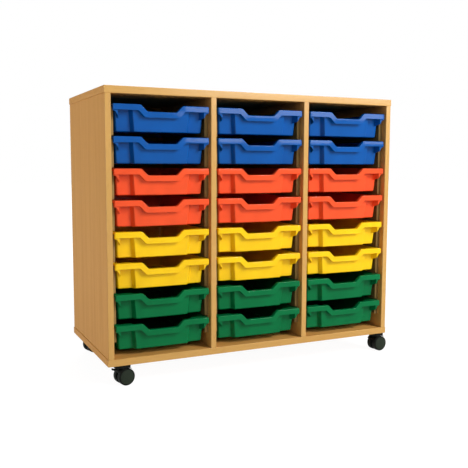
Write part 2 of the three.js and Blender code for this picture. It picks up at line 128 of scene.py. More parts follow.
Number = Union[Value, float]
Feed = Union[Value, bpy.types.NodeSocket, float, Sequence[float], str]


class Graph:
    """The node tree of a material or a world."""

    MIX_FACTOR, MIX_A, MIX_B, MIX_RESULT = 0, 6, 7, 2

    def __init__(self, owner: Union[bpy.types.Material, bpy.types.World]) -> None:
        """Empty the tree of its owner."""
        owner.use_nodes = True
        self.owner = owner
        self.tree = owner.node_tree
        self.tree.nodes.clear()

    def node(self, kind: str, settings: dict | None = None, inputs: dict | None = None) -> bpy.types.Node:
        """Add a node.

        Args:
            kind: The node's type, without its ShaderNode prefix.
            settings: Its properties, which are set first; "stops" sets a ramp's places and colours.
            inputs: Values or links of its sockets, by name or number.

        Returns:
            The node.
        """
        made = self.tree.nodes.new("ShaderNode" + kind)
        for name, value in (settings or {}).items():
            if name == "stops":
                for stop, (place, colour) in zip(made.color_ramp.elements, value):
                    stop.position, stop.color = place, (*colour, 1)
            else:
                setattr(made, name, value)
        for name, value in (inputs or {}).items():
            self.feed(made.inputs[name], value)
        return made

    def feed(self, socket: bpy.types.NodeSocket, value: Feed) -> None:
        """Link a socket to a value, or set it.

        Args:
            socket: The input socket.
            value: A wrapped value or output socket to link, or a constant.
        """
        if isinstance(value, Value):
            self.tree.links.new(value.socket, socket)
        elif isinstance(value, bpy.types.NodeSocket):
            self.tree.links.new(value, socket)
        elif socket.type == "RGBA" and len(value) == 3:
            socket.default_value = (*value, 1)
        else:
            socket.default_value = value

    def math(self, operation: str, *values: Number) -> Value:
        """Add a Math node.

        Args:
            operation: Its operation.
            values: What it works on, in order.

        Returns:
            Its result.
        """
        made = self.node("Math", {"operation": operation}, dict(enumerate(values)))
        return Value(self, made.outputs[0])

    def place(self) -> bpy.types.NodeSocket:
        """Give the place on the piece, in metres."""
        return self.node("TexCoord").outputs["Object"]

    def stretched(self, vector: bpy.types.NodeSocket, scales: Point) -> bpy.types.NodeSocket:
        """Multiply a vector's parts, each by its own scale."""
        made = self.node("VectorMath", {"operation": "MULTIPLY"}, {0: vector, 1: scales})
        return made.outputs[0]

    def noise(self, vector: bpy.types.NodeSocket, scale: float, detail: float = 2.0) -> Value:
        """Add a noise that varies around a half.

        Args:
            vector: The place that it reads.
            scale: Waves in each unit of that place.
            detail: How many finer waves ride on it.

        Returns:
            Its level.
        """
        inputs = {"Vector": vector, "Scale": scale, "Detail": detail}
        return Value(self, self.node("TexNoise", inputs=inputs).outputs["Fac"])

    def share(self, value: Value, low: float, high: float) -> Value:
        """Spread a value from low to high over 0 to 1, held there past them."""
        inputs = {"Value": value, "From Min": low, "From Max": high}
        return Value(self, self.node("MapRange", {"clamp": True}, inputs).outputs["Result"])

    def mix(self, factor: Number, low: Feed, high: Feed, mode: str = "MIX") -> bpy.types.NodeSocket:
        """Mix two colours.

        Args:
            factor: The share of the second.
            low: The first colour.
            high: The second colour.
            mode: How the second is laid on the first.

        Returns:
            The mixed colour.
        """
        settings = {"data_type": "RGBA", "blend_type": mode}
        inputs = {self.MIX_FACTOR: factor, self.MIX_A: low, self.MIX_B: high}
        return self.node("Mix", settings, inputs).outputs[self.MIX_RESULT]

    def bump(self, height: Value, strength: float, distance: float) -> bpy.types.NodeSocket:
        """Tilt the surface by a height.

        Args:
            height: The height, from 0 to 1.
            strength: How strongly it shows.
            distance: The real height of a full step, in metres.

        Returns:
            The tilted normal.
        """
        inputs = {"Height": height, "Strength": strength, "Distance": distance}
        return self.node("Bump", inputs=inputs).outputs["Normal"]

    def surface(self, inputs: dict) -> bpy.types.Material:
        """Finish the material with a Principled shader.

        Args:
            inputs: The shader's sockets.

        Returns:
            The material.
        """
        shader = self.node("BsdfPrincipled", inputs=inputs)
        self.node("OutputMaterial", inputs={"Surface": shader.outputs[0]})
        return self.owner

    def seen_directly(self) -> Value:
        """Give 1 to the camera, to mirror images and through glass, and 0 to all other light."""
        path = self.node("LightPath")
        camera, glossy, through = (
            Value(self, path.outputs[name]) for name in ("Is Camera Ray", "Is Glossy Ray", "Is Transmission Ray")
        )
        return self.math("MINIMUM", camera + glossy + through, 1.0)


class Grain(Enum):
    """The way that the grain of a board runs, as how quickly it varies along each axis."""

    ALONG_X = (1.0, 24.0, 24.0)
    ALONG_Y = (24.0, 1.0, 24.0)
    ALONG_Z = (24.0, 24.0, 1.0)


@dataclass(frozen=True)
class Finish:
    """A finish that gives one material, made when it is first asked for."""

    name: str

    def material(self) -> bpy.types.Material:
        """Give the finish's material."""
        return bpy.data.materials.get(self.name) or self.make(Graph(bpy.data.materials.new(self.name)))

    def make(self, graph: Graph) -> bpy.types.Material:
        """Make the finish's material in an empty graph."""
        raise NotImplementedError


@dataclass(frozen=True)
class BeechLaminate(Finish):
    """Beech-effect laminate: soft streaks and short flecks along the grain, under a satin lacquer."""

    grain: Grain
    pale: Colour
    deep: Colour
    fleck: Colour
    fleck_share: float = 0.30
    roughness: float = 0.45
    specular: float = 0.03

    def make(self, graph: Graph) -> bpy.types.Material:
        """Make the laminate."""
        along = graph.stretched(graph.place(), self.grain.value)
        streaks = graph.noise(along, 1.7, 3.0)
        fibres = graph.noise(along, 9.0, 2.0)
        flecks = graph.share(graph.noise(along, 26.0, 1.0), 0.60, 0.68)
        tone = graph.share(streaks * 0.8 + fibres * 0.2, 0.30, 0.70)
        board = graph.mix(tone, self.pale, self.deep)
        colour = graph.mix(flecks * self.fleck_share, board, self.fleck)
        return graph.surface({
            "Base Color": colour,
            "Roughness": self.roughness + 0.10 * fibres - 0.05 * flecks,
            "Specular IOR Level": self.specular,
            "Normal": graph.bump(fibres * 0.5 - flecks, 0.12, 0.0002),
        })


@dataclass(frozen=True)
class MouldedPlastic(Finish):
    """Moulded plastic: an even colour with faint flow clouds, fine texture and light rubbing."""

    colour: Colour
    roughness: float = 0.07
    clouding: float = 0.06
    texture: float = 0.008
    rub: float = 0.06
    specular: float = 0.14

    def make(self, graph: Graph) -> bpy.types.Material:
        """Make the plastic."""
        place = graph.place()
        clouds = graph.noise(place, 14.0, 2.0)
        skin = graph.noise(place, 1400.0, 1.0)
        rubbed = graph.share(graph.noise(graph.stretched(place, (9.0, 60.0, 60.0)), 6.0, 4.0), 0.58, 0.72)
        darker = tuple(level * (1 - self.clouding) for level in self.colour)
        lighter = tuple(min(1.0, level * (1 + self.clouding)) for level in self.colour)
        return graph.surface({
            "Base Color": graph.mix(graph.share(clouds, 0.3, 0.7), darker, lighter),
            "Roughness": self.roughness + 0.04 * skin + self.rub * rubbed,
            "Specular IOR Level": self.specular,
            "Normal": graph.bump(skin, self.texture, 0.0003),
        })


@dataclass(frozen=True)
class PlatedSteel(Finish):
    """Plated steel: fine drawn lines and slightly uneven brightness."""

    colour: Colour
    roughness: float = 0.34

    def make(self, graph: Graph) -> bpy.types.Material:
        """Make the steel."""
        place = graph.place()
        lines = graph.noise(graph.stretched(place, (40.0, 40.0, 900.0)), 3.0, 2.0)
        spangle = graph.noise(place, 260.0, 2.0)
        dull = tuple(level * 0.78 for level in self.colour)
        return graph.surface({
            "Base Color": graph.mix(graph.share(spangle, 0.35, 0.65), dull, self.colour),
            "Metallic": 1.0,
            "Roughness": self.roughness + 0.12 * lines,
            "Normal": graph.bump(lines, 0.04, 0.0002),
        })


BEECH_PALE = colour_of(217, 160, 88)
BEECH_DEEP = colour_of(207, 149, 77)
BEECH_FLECK = colour_of(184, 126, 60)
LIPPING_PALE = colour_of(213, 166, 93)
LIPPING_DEEP = colour_of(203, 154, 81)


def laminate(grain: Grain) -> BeechLaminate:
    """Give the boards' laminate with its grain that way."""
    return BeechLaminate(f"beech_laminate_{grain.name.lower()}", grain, BEECH_PALE, BEECH_DEEP, BEECH_FLECK)


def lipping(grain: Grain) -> BeechLaminate:
    """Give the edging of the boards with its grain that way."""
    name = f"beech_lipping_{grain.name.lower()}"
    return BeechLaminate(name, grain, LIPPING_PALE, LIPPING_DEEP, BEECH_FLECK, 0.22, 0.18, 0.30)


RUNNER_FINISH = MouldedPlastic("runner_strip_plastic", colour_of(150, 122, 72), 0.50, 0.08)
HOOD_FINISH = MouldedPlastic("castor_hood_plastic", colour_of(17, 19, 15), 0.50, 0.12, 0.10, 0.12, 0.10)
WHEEL_FINISH = MouldedPlastic("castor_wheel_plastic", colour_of(38, 46, 36), 0.46, 0.12, 0.08, 0.14, 0.10)
TREAD_FINISH = MouldedPlastic("castor_tread_plastic", colour_of(22, 25, 21), 0.55, 0.12, 0.14, 0.16, 0.08)
PLATE_FINISH = PlatedSteel("blackened_plate_steel", colour_of(58, 58, 56), 0.42)
AXLE_FINISH = PlatedSteel("zinc_plated_steel", colour_of(190, 192, 194), 0.30)
TRAY_FINISHES = {
    "blue": MouldedPlastic("tray_blue_plastic", colour_of(8, 84, 162)),
    "red": MouldedPlastic("tray_red_plastic", colour_of(243, 86, 43)),
    "yellow": MouldedPlastic("tray_yellow_plastic", colour_of(254, 204, 22)),
    "green": MouldedPlastic("tray_green_plastic", colour_of(3, 113, 62), specular=0.09),
}


class Shape:
    """A mesh in the making, gathered from simple forms. Corners are given in millimetres."""

    SHARP_ANGLE = math.radians(38)
    WELD = 0.002

    def __init__(self) -> None:
        """Start an empty mesh."""
        self.mesh = bmesh.new()

    def take(self, part: bmesh.types.BMesh, slot: int, placed: Matrix) -> None:
        """Add a finished part to the mesh.

        Args:
            part: The part, which is used up.
            slot: The number of its material.
            placed: Where it goes.
        """
        bmesh.ops.remove_doubles(part, verts=part.verts, dist=self.WELD)
        bmesh.ops.recalc_face_normals(part, faces=part.faces)
        for face in part.faces:
            face.material_index = slot
        part.transform(placed)
        held = bpy.data.meshes.new("part")
        part.to_mesh(held)
        part.free()
        self.mesh.from_mesh(held)
        bpy.data.meshes.remove(held)

    def loft(self, rings: Sequence[Sequence[Point]], slot: int = 0, placed: Matrix = Matrix()) -> None:
        """Add a closed skin over rings of corners, with a flat cap on the first and the last.

        Args:
            rings: Rings with the same number of corners.
            slot: The number of its material.
            placed: Where it goes.
        """
        part = bmesh.new()
        corners = [[part.verts.new(point) for point in ring] for ring in rings]
        count = len(rings[0])
        for near, far in zip(corners, corners[1:]):
            for i in range(count):
                after = (i + 1) % count
                part.faces.new((near[i], near[after], far[after], far[i]))
        part.faces.new(corners[0])
        part.faces.new(corners[-1])
        self.take(part, slot, placed)

    def prism(
        self,
        outline: Sequence[Plan],
        low: float,
        high: float,
        rounding: float,
        slot: int = 0,
        placed: Matrix = Matrix(),
        steps: int = 2,
    ) -> None:
        """Add an outline in X and Y, drawn up from one height to another, with its edges rounded.

        Args:
            outline: The outline's corners.
            low: The lower height.
            high: The upper height.
            rounding: The radius of the edges.
            slot: The number of its material.
            placed: Where it goes.
            steps: How many facets round an edge.
        """
        part = bmesh.new()
        lower = [part.verts.new((x, y, low)) for x, y in outline]
        upper = [part.verts.new((x, y, high)) for x, y in outline]
        part.faces.new(lower)
        part.faces.new(upper)
        for i in range(len(outline)):
            after = (i + 1) % len(outline)
            part.faces.new((lower[i], lower[after], upper[after], upper[i]))
        bmesh.ops.recalc_face_normals(part, faces=part.faces)
        if rounding > 0:
            bend = math.radians(20)
            edges = [edge for edge in part.edges if abs(edge.calc_face_angle_signed(0.0)) > bend]
            bmesh.ops.bevel(
                part, geom=edges, offset=rounding, segments=steps, profile=0.5,
                affect="EDGES", clamp_overlap=True,
            )
        self.take(part, slot, placed)

    def box(self, low: Point, high: Point, rounding: float, slot: int = 0, placed: Matrix = Matrix()) -> None:
        """Add a block between two corners, with its edges rounded.

        Args:
            low: The lowest corner.
            high: The highest corner.
            rounding: The radius of the edges.
            slot: The number of its material.
            placed: Where it goes.
        """
        outline = [(low[0], low[1]), (high[0], low[1]), (high[0], high[1]), (low[0], high[1])]
        self.prism(outline, low[2], high[2], rounding, slot, placed)

    def turned(self, profile: Sequence[Plan], steps: int, slot: int = 0, placed: Matrix = Matrix()) -> None:
        """Add a form turned about Z.

        Args:
            profile: Its radius and height from point to point, from the axis back to the axis.
            steps: How many facets go round.
            slot: The number of its material.
            placed: Where it goes.
        """
        part = bmesh.new()
        first = part.verts.new((0, 0, profile[0][1]))
        last = part.verts.new((0, 0, profile[-1][1]))
        rings = []
        for radius, height in profile[1:-1]:
            angles = [2 * math.pi * step / steps for step in range(steps)]
            rings.append([part.verts.new((radius * math.cos(a), radius * math.sin(a), height)) for a in angles])
        for i in range(steps):
            after = (i + 1) % steps
            part.faces.new((first, rings[0][after], rings[0][i]))
            part.faces.new((last, rings[-1][i], rings[-1][after]))
            for near, far in zip(rings, rings[1:]):
                part.faces.new((near[i], near[after], far[after], far[i]))
        self.take(part, slot, placed)

    def piece(self, name: str, finishes: Sequence[Finish]) -> bpy.types.Object:
        """Turn the mesh into an object with its materials.

        Args:
            name: The object's name.
            finishes: The finishes of its material slots, in order.

        Returns:
            The object, linked into the scene.
        """
        data = bpy.data.meshes.new(name)
        self.mesh.transform(Matrix.Scale(MM, 4))
        self.mesh.to_mesh(data)
        self.mesh.free()
        for finish in finishes:
            data.materials.append(finish.material())
        data.polygons.foreach_set("use_smooth", [True] * len(data.polygons))
        data.set_sharp_from_angle(angle=self.SHARP_ANGLE)
        made = bpy.data.objects.new(name, data)
        bpy.context.scene.collection.objects.link(made)
        weighted = made.modifiers.new("even_shading", "WEIGHTED_NORMAL")
        weighted.keep_sharp = True
        return made


def dress(piece: bpy.types.Object, body: str, slot: str, *nodes: str) -> bpy.types.Object:
    """Put a piece on its body, in place of the solids that it stands for.

    Args:
        piece: The piece.
        body: The body that carries it.
        slot: The record's material slot; not used.
        nodes: The solids that it replaces.

    Returns:
        The piece.
    """
    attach(piece, body)
    if nodes:
        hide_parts(*nodes)
    log.info("piece %s rides on %s", piece.name, body)
    return piece


def node_box(node: str) -> tuple[Vector, Vector]:
    """Give a solid's lowest and highest corners in millimetres."""
    low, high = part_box(node)
    return low / MM, high / MM


def round_corners(corners: Sequence[Plan], radius: float, steps: int) -> list[Plan]:
    """Round the corners of a closed outline.

    Args:
        corners: Its sharp corners, in order.
        radius: The radius of each.
        steps: How many facets go round each.

    Returns:
        The rounded outline.
    """
    points: list[Plan] = []
    for i, corner in enumerate(corners):
        here = Vector(corner)
        back = (Vector(corners[i - 1]) - here).normalized()
        ahead = (Vector(corners[(i + 1) % len(corners)]) - here).normalized()
        half = back.angle(ahead) / 2
        inward = (back + ahead).normalized()
        centre = here + inward * (radius / math.sin(half))
        start = here + back * (radius / math.tan(half)) - centre
        end = here + ahead * (radius / math.tan(half)) - centre
        for step in range(steps + 1):
            arm = start.lerp(end, step / steps).normalized() * radius
            points.append(tuple(centre + arm))
    return points


class Side(Enum):
    """An edge of a board that carries lipping: the axis that it faces along, and which way."""

    LEFT = (0, -1)
    RIGHT = (0, 1)
    FRONT = (1, -1)
    BACK = (1, 1)


@dataclass
class Carcass:
    """The seven boards of the case, each a core with lipped edges."""

    lipping_thickness: float = 2.6
    lipping_radius: float = 1.2
    core_radius: float = 0.4
    seam: float = 0.12
    body: str = "carcass"
    slot: str = "beech_board"

    def build(self) -> None:
        """Build and dress every board."""
        all_round = (Side.FRONT, Side.BACK, Side.LEFT, Side.RIGHT)
        for node in ("top_panel", "base_panel"):
            self.board(node, Grain.ALONG_X, all_round)
        for node in ("left_side_panel", "right_side_panel"):
            self.board(node, Grain.ALONG_Z, (Side.FRONT, Side.BACK))
        for node in ("left_divider", "right_divider"):
            self.board(node, Grain.ALONG_Z, (Side.FRONT,))
        self.board("back_panel", Grain.ALONG_Z, ())

    def board(self, node: str, grain: Grain, lipped: Sequence[Side]) -> None:
        """Build one board in place of its solid.

        Args:
            node: The solid.
            grain: The way its grain runs.
            lipped: The edges that carry lipping.
        """
        low, high = node_box(node)
        shape = Shape()
        core_low, core_high = low.copy(), high.copy()
        for side in lipped:
            axis, way = side.value
            if way < 0:
                core_low[axis] += self.lipping_thickness
            else:
                core_high[axis] -= self.lipping_thickness
        shape.box(tuple(core_low), tuple(core_high), self.core_radius)
        for side in lipped:
            self.edge(shape, side, (low, high), (core_low, core_high), grain)
        finishes = [laminate(grain), lipping(grain), laminate(Grain.ALONG_Y)]
        dress(shape.piece(f"{node}_board", finishes), self.body, self.slot, node)

    def edge(
        self,
        shape: Shape,
        side: Side,
        whole: tuple[Vector, Vector],
        core: tuple[Vector, Vector],
        grain: Grain,
    ) -> None:
        """Add the lipping on one edge of a board.

        Args:
            shape: The board's mesh.
            side: The edge.
            whole: The board's lowest and highest corners.
            core: Those of its core.
            grain: The way the board's grain runs.
        """
        axis, way = side.value
        low, high = whole[0].copy(), whole[1].copy()
        if way < 0:
            high[axis] = core[0][axis] - self.seam
        else:
            low[axis] = core[1][axis] + self.seam
        if axis == 0:
            low[1], high[1] = core[0][1], core[1][1]
        slot = 2 if axis == 0 and grain is Grain.ALONG_X else 1
        shape.box(tuple(low), tuple(high), self.lipping_radius, slot)


@dataclass
class RunnerStrips:
    """The moulded strips that the trays slide on, one on each side of each bay."""

    bays: tuple[str, ...] = ("left", "centre", "right")
    rows: int = 8
    web: float = 4.0
    rib: float = 3.0
    ledge: float = 3.0
    edge_drop: float = 7.0
    clearance: float = 0.3
    headroom: float = 3.0
    rounding: float = 0.6
    screw_radius: float = 3.6
    screw_rows: tuple[int, ...] = (0, 3, 6)
    body: str = "carcass"
    slot: str = "runner_plastic"

    def build(self) -> None:
        """Build and dress every strip."""
        for bay in self.bays:
            for side, way in (("left", 1), ("right", -1)):
                self.strip(bay, f"{bay}_bay_{side}_runner", way)

    def strip(self, bay: str, node: str, way: int) -> None:
        """Build one strip in place of its solid.

        Args:
            bay: The bay that it serves.
            node: The solid.
            way: 1 where the strip reaches to the right, and -1 to the left.
        """
        low, high = node_box(node)
        reach = high.x - low.x
        wall = low.x if way > 0 else high.x
        rims = [node_box(f"{bay}_tray_row_{row + 1}")[1].z for row in range(self.rows)]
        ledges = [rim - self.edge_drop - self.clearance for rim in rims]

        def block(near: float, far: float, front: float, back: float, bottom: float, top: float) -> None:
            """Add a block by its distances from the board's face, its depths and its heights."""
            ends = sorted((wall + way * near, wall + way * far))
            shape.box((ends[0], front, bottom), (ends[1], back, top), self.rounding)

        shape = Shape()
        block(0, self.web, low.y, high.y, low.z, high.z)
        inside = self.web / 2
        for row, top in enumerate(ledges):
            block(inside, reach, low.y, high.y, top - self.ledge, top)
            foot = rims[row + 1] + self.headroom if row + 1 < self.rows else low.z
            block(inside, reach, low.y, low.y + self.rib, foot, top - self.ledge / 2)
        for row in self.screw_rows:
            height = (ledges[row] - self.ledge + rims[row + 1]) / 2
            for depth in (low.y + (high.y - low.y) * share for share in (0.12, 0.5, 0.88)):
                turn = Matrix.Rotation(way * math.pi / 2, 4, "Y")
                placed = Matrix.Translation((wall + way * self.web, depth, height)) @ turn
                add_screw(shape, self.screw_radius, 1, placed)
        dress(shape.piece(f"{node}_strip", [RUNNER_FINISH, AXLE_FINISH]), self.body, self.slot, node)


def add_screw(shape: Shape, radius: float, slot: int, placed: Matrix) -> None:
    """Add a round screw head with a cross recess, standing up from Z 0.

    Args:
        shape: The mesh that takes it.
        radius: The head's radius.
        slot: The number of its material.
        placed: Where it goes.
    """
    rise, sunk = radius * 0.5, -0.3
    arm, half = radius * 0.55, radius * 0.11
    quarter = [Vector((arm, -half, 0)), Vector((arm, half, 0)), Vector((half, half, 0))]
    cross = [Matrix.Rotation(turn * math.pi / 2, 3, "Z") @ corner for turn in range(4) for corner in quarter]
    rings = [[(corner.x, corner.y, height) for corner in cross] for height in (rise * 0.35, rise * 0.78)]
    dome = [(math.cos(lean), rise * math.sin(lean)) for lean in map(math.radians, (51, 34, 17, 0))]
    for share, height in [*dome, (1.0, sunk)]:
        reach = radius * share
        angles = [math.radians(30 * step - 15) for step in range(len(cross))]
        rings.append([(reach * math.cos(a), reach * math.sin(a), height) for a in angles])
    shape.loft(rings, slot, placed)


class RoundedLine:
    """A line of straight stretches with rounded bends, read as a height at each place along it."""

    def __init__(self, points: Sequence[Plan], radius: float) -> None:
        """Set out the line.

        Args:
            points: Its ends and bends, from left to right.
            radius: The radius of its bends.
        """
        self.points = [Vector(point) for point in points]
        self.bends = []
        for before, here, after in zip(self.points, self.points[1:], self.points[2:]):
            back, ahead = (before - here).normalized(), (after - here).normalized()
            half = back.angle(ahead) / 2
            run = radius / math.tan(half)
            centre = here + (back + ahead).normalized() * (radius / math.sin(half))
            self.bends.append(((here + back * run).x, (here + ahead * run).x, centre, radius))

    def at(self, x: float) -> float:
        """Give the line's height at a place.

        Args:
            x: The place.

        Returns:
            The height there.
        """
        for start, end, centre, radius in self.bends:
            if start <= x <= end:
                drop = math.sqrt(max(0.0, radius**2 - (x - centre.x) ** 2))
                straight = self.straight(x)
                return centre.y + (drop if straight > centre.y else -drop)
        return self.straight(x)

    def straight(self, x: float) -> float:
        """Give the height of the line with its bends left sharp."""
        for near, far in zip(self.points, self.points[1:]):
            if near.x <= x <= far.x:
                return near.y + (far.y - near.y) * (x - near.x) / (far.x - near.x)
        return self.points[-1].y

    def places(self, steps: int) -> list[float]:
        """Give the places that its bends need, with so many facets round each."""
        return [
            start + (end - start) * step / steps for start, end, *_ in self.bends for step in range(steps + 1)
        ]


@dataclass(frozen=True)
class Station:
    """One place round a tray: its rim and wall in plan, and how high the rim and its edge stand.

    On the way down the wall moves in by side times the lean of the side walls across the tray, by front times
    that of the front wall, by rear times that of the rear wall, and by taper across the tray.
    """

    rim: Plan
    outward: Plan
    wall: Plan
    side: float
    front: float
    rear: float
    top: float
    edge: float
    taper: float = 0.0

    def mirrored(self) -> "Station":
        """Give the same place on the other side of the tray."""
        return Station(
            (-self.rim[0], self.rim[1]), (-self.outward[0], self.outward[1]), (-self.wall[0], self.wall[1]),
            -self.side, self.front, self.rear, self.top, self.edge, -self.taper,
        )


@dataclass
class Tray:
    """A moulded tray: X across, Y back from the front of the lip, Z up from the top of the rim."""

    width: float
    depth: float
    height: float
    wall: float = 2.4
    floor: float = 2.6
    side_flange: float = 10.0
    rear_flange: float = 12.0
    rim: float = 2.6
    edge_drop: float = 7.0
    wall_draft: float = 6.0
    front_draft: float = 7.0
    front_corner: float = 6.0
    rear_corner: float = 14.0
    rim_front_corner: float = 4.2
    rim_rear_corner: float = 10.0
    lip_height: float = 18.0
    lip_radius: float = 2.2
    lip_lean: float = 0.8
    dip_depth: float = 21.0
    dip_floor: float = 94.0
    dip_run: float = 21.0
    dip_radius: float = 11.0
    panel_setback: float = 10.0
    panel_step: float = 15.0
    panel_width: float = 186.0
    panel_taper: float = 8.0
    panel_slope: float = 8.5
    panel_radius: float = 3.0
    toe_width: float = 17.0
    toe_setback: float = 4.0
    toe_thickness: float = 2.0
    toe_end: float = 20.0
    toe_drop: float = 36.0
    lip_return: float = 7.0
    fin_drop: float = 42.0
    fin_inset: float = 23.0
    fin_thickness: float = 2.0
    floor_fillet: float = 5.0
    base_fillet: float = 4.0
    foot_inset: float = 13.0
    foot_height: float = 1.2
    bend_steps: int = 5
    side_steps: int = 8

    def lip_line(self, drop: float, radius: float) -> RoundedLine:
        """Give the lip's edge as a line across the tray.

        Args:
            drop: How far the edge is set down from the lip's top.
            radius: The radius of its bends.

        Returns:
            The line of its height.
        """
        slope = math.atan2(self.dip_depth, self.dip_run)
        floor_half = self.dip_floor / 2 + drop * math.tan(slope / 2)
        top_half = floor_half + self.dip_run
        half = self.width / 2
        right = [(floor_half, -drop - self.dip_depth), (top_half, -drop), (half, -drop)]
        left = [(-x, z) for x, z in reversed(right)]
        return RoundedLine([*left, *right], radius)

    def wall_line(self) -> RoundedLine:
        """Give the front wall in plan, as its distance back from the lip."""
        ends = self.panel_setback + self.panel_step
        panel = self.panel_width / 2
        right = [(panel, self.panel_setback), (panel + self.panel_slope, ends), (self.width / 2, ends)]
        left = [(-x, y) for x, y in reversed(right)]
        return RoundedLine([*left, *right], self.panel_radius)

    def front_stations(self) -> list[Station]:
        """Give the places along the right half of the front, from the middle out."""
        top, low, wall = self.lip_line(0, self.dip_radius), self.lip_line(self.lip_height, 6.0), self.wall_line()
        last = self.width / 2 - self.side_flange - self.front_corner
        needed = top.places(self.bend_steps) + low.places(self.bend_steps) + wall.places(self.bend_steps)
        spread = [last * step / 10 for step in range(1, 11)]
        chosen: list[float] = []
        for x in sorted(x for x in needed + spread if 0 < x <= last):
            if not chosen or x - chosen[-1] > 0.8:
                chosen.append(x)
        panel = self.panel_width / 2
        slope_end = panel + self.panel_slope
        made = []
        for x in chosen:
            side = max(0.0, (x - slope_end) / (last - slope_end))
            taper = self.panel_taper * min(x / panel, 1 - side)
            made.append(Station((x, 0), (0, -1), (x, wall.at(x)), side, 1, 0, top.at(x), low.at(x), taper))
        return made

    def corner_stations(self) -> list[Station]:
        """Give the places round the right front corner."""
        half, radius = self.width / 2, self.rim_front_corner
        lip, turned = -self.lip_height, -self.edge_drop
        path = []
        for angle in (math.radians(angle) for angle in (-90, -60, -30, 0)):
            way = (math.cos(angle), math.sin(angle))
            path.append(((half - radius + radius * way[0], radius + radius * way[1]), way, lip))
        path.append(((half, self.lip_return), (1, 0), lip))
        path.append(((half, self.lip_return + 1), (1, 0), turned))
        path.append(((half, self.panel_setback + self.panel_step), (1, 0), turned))
        round_wall = self.front_corner
        side_wall = half - self.side_flange
        centre = (side_wall - round_wall, self.panel_setback + self.panel_step + round_wall)
        made = []
        for step, (rim, outward, edge) in enumerate(path, 1):
            angle = math.radians(-90 + 90 * step / (len(path) + 1))
            wall = (centre[0] + round_wall * math.cos(angle), centre[1] + round_wall * math.sin(angle))
            made.append(Station(rim, outward, wall, 1, 1, 0, 0, edge))
        return made

    def side_stations(self) -> list[Station]:
        """Give the places along the right side, from the front to the back."""
        half = self.width / 2
        first = self.panel_setback + self.panel_step + self.front_corner
        last = self.depth - self.rear_flange - self.rear_corner
        wall = half - self.side_flange
        made = []
        for step in range(self.side_steps + 1):
            y = first + (last - first) * step / self.side_steps
            front, rear = float(step == 0), float(step == self.side_steps)
            made.append(Station((half, y), (1, 0), (wall, y), 1, front, rear, 0, -self.edge_drop))
        return made

    def rear_stations(self) -> list[Station]:
        """Give the places round the right rear corner and along the rear to the middle."""
        half, radius = self.width / 2, self.rim_rear_corner
        wall_x, wall_y = half - self.side_flange, self.depth - self.rear_flange
        steps = 6
        made = []
        for step in range(1, steps + 1):
            angle = math.radians(90 * step / (steps + 1))
            way = (math.cos(angle), math.sin(angle))
            rim = (half - radius + radius * way[0], self.depth - radius + radius * way[1])
            corner = self.rear_corner
            wall = (wall_x - corner + corner * way[0], wall_y - corner + corner * way[1])
            made.append(Station(rim, way, wall, 1, 0, 1, 0, -self.edge_drop))
        last = wall_x - self.rear_corner
        for step in range(6, 0, -1):
            x = last * step / 6
            made.append(Station((x, self.depth), (0, 1), (x, wall_y), x / last, 0, 1, 0, -self.edge_drop))
        return made

    def stations(self) -> list[Station]:
        """Give every place round the tray, starting at the middle of the front."""
        half = self.front_stations() + self.corner_stations() + self.side_stations() + self.rear_stations()
        front = Station(
            (0, 0), (0, -1), (0, self.panel_setback), 0, 1, 0, -self.dip_depth, -self.dip_depth - self.lip_height
        )
        rear_wall = (0, self.depth - self.rear_flange)
        rear = Station((0, self.depth), (0, 1), rear_wall, 0, 0, 1, 0, -self.edge_drop)
        return [front, *half, rear, *(station.mirrored() for station in reversed(half))]

    def on_wall(self, station: Station, z: float, inset: float) -> Point:
        """Give a place on the wall.

        Args:
            station: The place round the tray.
            z: The height.
            inset: How far inside the wall's outer face.

        Returns:
            The point.
        """
        down = -z / self.height
        lean = self.wall_draft * down + inset
        forward = self.front_draft * down + inset
        x = station.wall[0] - station.side * lean - station.taper * down
        return x, station.wall[1] + station.front * forward - station.rear * lean, z

    @staticmethod
    def on_rim(station: Station, z: float, inset: float) -> Point:
        """Give a place on the rim or its edge, so far inside its outer face."""
        return station.rim[0] - station.outward[0] * inset, station.rim[1] - station.outward[1] * inset, z

    def on_edge(self, station: Station, z: float, inset: float) -> Point:
        """Give a place on the rim's top edge, which leans back where it isn't dipped."""
        return self.on_rim(station, z, inset + self.lip_lean * (1 + station.top / self.dip_depth))

    def profile(self) -> list[Callable[[Station], Point]]:
        """Give the tray's section as places at each station, from the inside of the floor out to its base."""
        quarter = [math.radians(angle) for angle in (0, 30, 60, 90)]
        half_turn = [math.radians(angle) for angle in (0, 45, 90, 135, 180)]
        base, inside = -self.height, -self.height + self.floor
        places: list[Callable[[Station], Point]] = []

        def wall(height: Callable[[Station], float], inset: float) -> None:
            """Add a place on the wall."""
            places.append(lambda station: self.on_wall(station, height(station), inset))

        def rim(height: Callable[[Station], float], inset: float) -> None:
            """Add a place on the rim."""
            places.append(lambda station: self.on_rim(station, height(station), inset))

        def edge(height: Callable[[Station], float], inset: float) -> None:
            """Add a place on the rim's top edge."""
            places.append(lambda station: self.on_edge(station, height(station), inset))

        def level(z: float) -> Callable[[Station], float]:
            """Give the same height all round."""
            return lambda station: z

        def under(drop: float) -> Callable[[Station], float]:
            """Give the height so far under the rim's top."""
            return lambda station: station.top - drop

        def over(rise: float) -> Callable[[Station], float]:
            """Give the height so far over the foot of the rim's edge."""
            return lambda station: station.edge + rise

